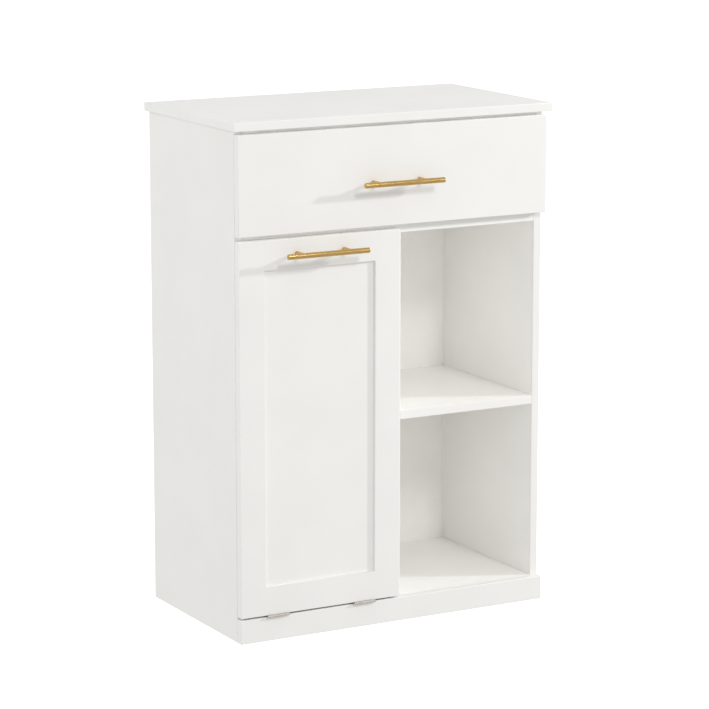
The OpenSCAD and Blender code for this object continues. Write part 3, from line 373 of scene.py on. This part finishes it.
def routed_door():
    """One board with a recessed field, whose rim is softened, inside its borders."""
    stile, rail, recess, rim_round, edge_round = 52 * mm, 55 * mm, 6 * mm, 2 * mm, 1.2 * mm
    low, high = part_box("door_panel")
    bm = bmesh.new()
    bmesh.ops.create_cube(bm, size=1.0)
    bmesh.ops.transform(bm, matrix=Matrix.Translation((low + high) / 2) @ Matrix.Diagonal((*(high - low), 1)),
                        verts=bm.verts)
    field = [(Vector((1, 0, 0)), low.x + stile), (Vector((1, 0, 0)), high.x - stile),
             (Vector((0, 0, 1)), low.z + rail), (Vector((0, 0, 1)), high.z - rail)]
    for normal, at in field:
        bmesh.ops.bisect_plane(bm, geom=bm.verts[:] + bm.edges[:] + bm.faces[:], plane_co=normal * at,
                               plane_no=normal)
    centre = Vector(((low.x + high.x) / 2, low.y, (low.z + high.z) / 2))
    middle = min(bm.faces, key=lambda f: (f.calc_center_median() - centre).length)
    made = bmesh.ops.extrude_discrete_faces(bm, faces=[middle])["faces"]
    bmesh.ops.translate(bm, vec=(0, recess, 0), verts=made[0].verts)

    def on_rim(point):
        between_stiles = low.x + stile / 2 < point.x < high.x - stile / 2
        between_rails = low.z + rail / 2 < point.z < high.z - rail / 2
        return between_stiles and between_rails and abs(point.y - low.y) < same_plane

    rim = [e for e in bm.edges if all(on_rim(v.co) for v in e.verts)]
    ease(bm, rim, rim_round, segments=4)
    bmesh.ops.dissolve_limit(bm, angle_limit=flat_angle, verts=bm.verts, edges=bm.edges)
    ease(bm, outer_edges(bm, low, high), edge_round)
    piece("door_board", bm, "door_panel")


routed_door()


def handle_bar(owner):
    """A round bar from left to right with eased ends, in its node's box."""
    node = owner + "_handle_bar"
    low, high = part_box(node)
    bm = bmesh.new()
    bmesh.ops.create_cone(bm, cap_ends=True, segments=64, radius1=0.5, radius2=0.5, depth=1.0)
    to_box = Matrix.Translation((low + high) / 2) @ Matrix.Diagonal((*(high - low), 1))
    bmesh.ops.transform(bm, matrix=to_box @ Matrix.Rotation(math.pi / 2, 4, "Y"), verts=bm.verts)
    for face in bm.faces:
        face.smooth = len(face.verts) == 4
    ease(bm, [e for e in bm.edges if any(len(f.verts) > 4 for f in e.link_faces)], 0.7 * mm)
    piece(owner + "_bar", bm, node)


for owner in ("drawer", "door"):
    handle_bar(owner)


# Laundry bag: one run of canvas sewn over the rods of its frame, with a flat bottom that sags

def bag_ring(bm, centre, half, front_corner, rear_corner, spacing):
    """A rounded rectangle of edges, with every point's outward direction."""
    sides = 32
    verts = bmesh.ops.create_circle(bm, radius=1.0, segments=sides)["verts"]
    bmesh.ops.rotate(bm, cent=(0, 0, 0), matrix=Matrix.Rotation(math.pi / sides, 3, "Z"), verts=verts)
    for v in verts:
        corner = rear_corner if v.co.y > 0 else front_corner
        middle = Vector((math.copysign(half.x - corner, v.co.x), math.copysign(half.y - corner, v.co.y), 0))
        v.co = middle + v.co * corner
    long_edges = [e for e in bm.edges if e.calc_length() > 4 * spacing]
    bmesh.ops.subdivide_edges(bm, edges=long_edges, cuts=round(2 * half.x / spacing) - 1)
    outward = {}
    for v in bm.verts:
        corner = rear_corner if v.co.y > 0 else front_corner
        inner = Vector((max(-half.x + corner, min(half.x - corner, v.co.x)),
                        max(-half.y + corner, min(half.y - corner, v.co.y)), 0))
        outward[v] = (v.co - inner).normalized()
    bmesh.ops.translate(bm, vec=centre, verts=bm.verts)
    return outward


def hang(piece_to_hang, frames):
    """Lets a cloth piece hang by its sewn edge, and keeps the result in its mesh."""
    drape = piece_to_hang.modifiers.new("drape", "CLOTH")
    drape.settings.quality = 10
    drape.settings.mass = 0.02
    drape.settings.air_damping = 4.0
    drape.settings.effector_weights.gravity = 0.2
    drape.settings.tension_stiffness = 300
    drape.settings.compression_stiffness = 10
    drape.settings.shear_stiffness = 12
    drape.settings.bending_stiffness = 0.6
    drape.settings.shrink_min = -0.005
    drape.settings.vertex_group_mass = "sewn"
    drape.collision_settings.use_collision = False
    drape.point_cache.frame_start = 1
    drape.point_cache.frame_end = frames
    for frame_number in range(1, frames + 1):
        scene.frame_set(frame_number)
    hung = bpy.data.meshes.new_from_object(piece_to_hang.evaluated_get(bpy.context.evaluated_depsgraph_get()))
    piece_to_hang.modifiers.clear()
    piece_to_hang.data = hung
    scene.frame_set(1)


def walk_round(ring):
    """How far along a ring each of its points lies, and the ring's whole length."""
    at = ring[0]
    along = {at: 0.0}
    while len(along) < len(ring):
        following = next(e.other_vert(at) for e in at.link_edges if e.other_vert(at) not in along)
        along[following] = along[at] + (following.co - at.co).length
        at = following
    return along, along[at] + (at.co - ring[0].co).length


def extrude_ring(bm, ring, edges):
    """The new edges of an extruded ring, and the old point that each new one came from."""
    old, made = set(ring), bmesh.ops.extrude_edge_only(bm, edges=edges)["geom"]
    came_from = {v: next(e.other_vert(v) for e in v.link_edges if e.other_vert(v) in old)
                 for v in made if isinstance(v, bmesh.types.BMVert)}
    made_edges = [e for e in made if isinstance(e, bmesh.types.BMEdge)]
    return [e for e in made_edges if all(v in came_from for v in e.verts)], came_from


def put_in_order(bm):
    """Sorts edges and faces by their points, because extruding leaves them in a new order on each run
    and the cloth would hang a little otherwise for it."""
    bm.verts.index_update()
    count = len(bm.verts)

    def rank(element):
        first, second, *more = sorted(v.index for v in element.verts)
        return (first * count + second) * count + (more[0] if more else 0)

    bm.edges.sort(key=rank)
    bm.faces.sort(key=rank)


def hem_profile(sleeve):
    """Steps (outward, up) over the cloth from the hem's inner edge, round the rod and down to the wall."""
    inner_edge, inner_seam, outer_seam, wall = -0.7 * mm, -1.4 * mm, 1.4 * mm, 0.6 * mm
    turns = [math.radians(angle) for angle in range(225, -46, -30)]
    return [(inner_edge, -20 * mm), (inner_edge, -12 * mm), (inner_seam, -7 * mm),
            *[(sleeve * math.cos(turn), sleeve * math.sin(turn)) for turn in turns],
            (outer_seam, -7 * mm), (-inner_edge, -12 * mm), (wall, -20 * mm)]


def cloth_map(bm, place, round_length):
    """UV in metres of cloth: round the bag and down its wall, or straight over its bottom."""
    layer = bm.loops.layers.uv.new("cloth")
    for face in bm.faces:
        on_wall = all(v in place for v in face.verts)
        first = place[face.verts[0]][0] if on_wall else 0
        for loop in face.loops:
            if on_wall:
                u, v = place[loop.vert]
                turns = round((first - u) / round_length)
                loop[layer].uv = (u + turns * round_length, v)
            else:
                loop[layer].uv = loop.vert.co.xy


def canvas_bag():
    """The bag as cut and sewn, hung by its hem, with its thickness."""
    low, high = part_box("laundry_bag")
    hem, spacing, bottom_rings, thickness = 6 * mm, 12.5 * mm, 9, 1.1 * mm
    front_corner, rear_corner = 8 * mm, 20 * mm
    centre = (low + high) / 2
    half = Vector(((high.x - low.x) / 2 - hem, (high.y - low.y) / 2 - hem, 0))
    room_to_sag, sleeve = 22 * mm, 4.5 * mm
    rim, floor = high.z - hem, low.z + room_to_sag
    profile = hem_profile(sleeve)
    band = len(profile)
    wall, wall_top = profile[-1]
    drop = rim + wall_top - floor
    steps = round(drop / spacing)
    profile += [(wall, wall_top - drop * i / steps) for i in range(1, steps)]

    bm = bmesh.new()
    outward = bag_ring(bm, Vector((centre.x, centre.y, rim)), half, front_corner, rear_corner, spacing)
    ring, edges = list(bm.verts), list(bm.edges)
    along, round_length = walk_round(ring)
    home = {v: v.co.copy() for v in ring}

    def fold(v, share):
        # Soft upright folds that deepen towards the bottom
        turn = 2 * math.pi * along[v] / round_length
        return 3.2 * mm * share ** 0.7 * (math.sin(7 * turn + 0.6) + 0.7 * math.sin(12 * turn + 2.1))

    sewn = list(ring)
    place = {v: (along[v], 0.0) for v in ring}
    for v in ring:
        v.co = home[v] + outward[v] * profile[0][0] + Vector((0, 0, profile[0][1]))
    length = 0.0
    for number, (out, down) in enumerate(profile[1:], 1):
        length += math.dist(profile[number - 1], (out, down))
        share = max(0, number - band + 1) / steps
        edges, came_from = extrude_ring(bm, ring, edges)
        for v, old in came_from.items():
            home[v], outward[v], along[v] = home[old], outward[old], along[old]
            place[v] = (along[v], length)
            v.co = home[v] + outward[v] * (out + fold(v, share)) + Vector((0, 0, down))
        ring = list(came_from)
        if number < band:
            sewn += ring
    # The bottom is drawn in ring by ring to the middle, then closed
    for number in range(bottom_rings):
        share = 1 - (number + 0.5) / bottom_rings
        edges, came_from = extrude_ring(bm, ring, edges)
        for v, old in came_from.items():
            home[v], outward[v], along[v] = home[old], outward[old], along[old]
            edge = home[v] + outward[v] * fold(v, 1)
            v.co = centre.lerp(edge, share).xy.to_3d() + Vector((0, 0, floor))
        ring = list(came_from)
    bmesh.ops.contextual_create(bm, geom=edges)
    put_in_order(bm)
    bmesh.ops.recalc_face_normals(bm, faces=bm.faces)
    cloth_map(bm, place, round_length)
    for face in bm.faces:
        face.smooth = True
    sewn_indices = [v.index for v in sewn]
    bag = piece("canvas_bag", bm, "laundry_bag")
    # Each edge points the same way on each run too
    for edge in bag.data.edges:
        edge.vertices = sorted(edge.vertices)
    bag.vertex_groups.new(name="sewn").add(sewn_indices, 1.0, "REPLACE")
    hang(bag, frames=45)
    thick = bag.modifiers.new("cloth_thickness", "SOLIDIFY")
    thick.thickness = thickness
    thick.offset = 0
    soft = bag.modifiers.new("soft_weave", "SUBSURF")
    soft.levels = 1
    soft.render_levels = 1


canvas_bag()


def roller(node):
    """A moulded wheel with a rounded tread and a hollow on both sides between hub and rim."""
    low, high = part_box(node)
    centre = (low + high) / 2
    wide, outer, bore = (high.x - low.x) / 2, (high.z - low.z) / 2, 2.05 * mm
    hub, rim, hollow, easing = bore + 1.6 * mm, outer - 2.2 * mm, 1.2 * mm, 0.6 * mm
    half_profile = [(wide - easing, outer), (wide, outer - easing), (wide, rim), (wide - hollow, rim),
                    (wide - hollow, hub), (wide, hub), (wide, bore)]
    profile = half_profile + [(-x, r) for x, r in reversed(half_profile)]
    bm = bmesh.new()
    points = [bm.verts.new((centre.x + x, centre.y, centre.z + r)) for x, r in profile]
    lines = [bm.edges.new(pair) for pair in zip(points, points[1:] + points[:1])]
    bmesh.ops.spin(bm, geom=points + lines, cent=centre, axis=(1, 0, 0), angle=2 * math.pi, steps=48,
                   use_merge=True)
    bmesh.ops.remove_doubles(bm, verts=bm.verts, dist=same_point)
    bmesh.ops.recalc_face_normals(bm, faces=bm.faces)
    for face in bm.faces:
        face.smooth = abs(face.normal.x) < 0.9
    for edge in bm.edges:
        edge.smooth = edge.calc_face_angle(0) < math.radians(50)
    piece(node + "_wheel", bm, node)


for node in ("left_front_roller", "right_front_roller", "left_rear_roller", "right_rear_roller"):
    roller(node)


# Floor, light and camera

def studio_floor():
    """A wide white floor that goes over into the white behind it."""
    bm = bmesh.new()
    bmesh.ops.create_grid(bm, x_segments=2, y_segments=2, size=40.0)
    mesh = bpy.data.meshes.new("studio_floor")
    bm.to_mesh(mesh)
    bm.free()
    floor = bpy.data.objects.new("studio_floor", mesh)
    scene.collection.objects.link(floor)
    # It sends out light of its own, so that it stays white in the picture as a lit white cove does.
    # Only the camera sees it: the studio's even light reaches the cabinet from below as from above.
    material, shader = finish("matt_white_floor", Roughness=0.9, Emission_Color=(1, 1, 1, 1),
                              Emission_Strength=0.9)
    mottled(material, shader, "#BCBCBC", "#BFBFBF", 0.5, coordinates(material))
    floor.visible_diffuse = False
    floor.visible_glossy = False
    mesh.materials.append(material)


def soft_box(name, place, aim, size, power):
    """A white rectangular lamp with its width and height in metres and its power in watts."""
    data = bpy.data.lights.new(name, "AREA")
    data.shape = "RECTANGLE"
    data.size, data.size_y = size
    data.energy = power
    lamp = bpy.data.objects.new(name, data)
    lamp.location = place
    lamp.rotation_euler = (Vector(aim) - Vector(place)).to_track_quat("-Z", "Y").to_euler()
    scene.collection.objects.link(lamp)
    return lamp


def fill(name, low, high, brightness):
    """A sheet of light in an opening's mouth, facing in, for what the studio's walls send back."""
    place = Vector(((low.x + high.x) / 2, low.y + 2 * mm, (low.z + high.z) / 2))
    wide, tall = high.x - low.x, high.z - low.z
    power = math.pi * wide * tall * brightness
    lamp = soft_box(name + "_fill", place, place + Vector((0, 1, 0)), (wide, tall), power)
    lamp.visible_camera = False


def glow(name, place, power):
    """A weak round light inside a bay, for what its white walls send to each other."""
    data = bpy.data.lights.new(name, "POINT")
    data.energy = power
    data.shadow_soft_size = 0.06
    lamp = bpy.data.objects.new(name, data)
    lamp.location = place
    lamp.visible_camera = False
    lamp.visible_glossy = False
    scene.collection.objects.link(lamp)


def fill_openings():
    """Light in the two bays, over the drawer front and over the door."""
    for bay, power in (("upper_bay", 0.08), ("lower_bay", 0.05)):
        low, high = (Vector(corner) for corner in openings[bay])
        fill(bay, low, high, brightness=0.18)
        glow(bay + "_glow", (low + high) / 2, power)
    front_low, front_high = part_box("drawer_front")
    top_low, door_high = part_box("top_panel")[0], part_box("door_panel")[1]
    over_front = Vector((front_low.x, front_low.y, front_high.z)), Vector((front_high.x, 0, top_low.z))
    over_door = Vector((front_low.x, front_low.y, door_high.z)), Vector((door_high.x, 0, front_low.z))
    fill("top_gap", *over_front, brightness=0.5)
    fill("door_gap", *over_door, brightness=0.35)


def studio_world():
    """Even white light from all sides."""
    world = bpy.data.worlds.new("white_studio")
    scene.world = world
    world.use_nodes = True
    world.node_tree.nodes["Background"].inputs["Color"].default_value = (1, 1, 1, 1)
    world.node_tree.nodes["Background"].inputs["Strength"].default_value = 0.66


def photograph_camera():
    """The camera that fits the cabinet's corners in the photograph best, for a square frame."""
    yaw, pitch = math.radians(28.87), math.radians(11.34)
    data = bpy.data.cameras.new("camera")
    data.sensor_width = 36.0
    data.lens = 155.22
    data.clip_end = 100.0
    camera = bpy.data.objects.new("camera", data)
    camera.location = (-2.710, -4.9225, 1.604)
    camera.rotation_euler = (math.pi / 2 - pitch, 0, -yaw)
    scene.collection.objects.link(camera)
    scene.camera = camera


studio_floor()
studio_world()
soft_box("front_light", (0.5, -4.9, 3.9), (0, 0, 0.6), (0.8, 0.8), 66)
soft_box("right_light", (4.3, -2.0, 2.2), (0, 0, 0.6), (0.25, 0.25), 90)
soft_box("left_light", (-4.6, 0.6, 2.2), (-0.3, 0, 0.6), (2.0, 2.0), 54)
soft_box("top_light", (0, 0.3, 3.6), (0, 0, 0.9), (2.0, 2.0), 4)
fill_openings()
photograph_camera()
scene.view_settings.view_transform = "Standard"
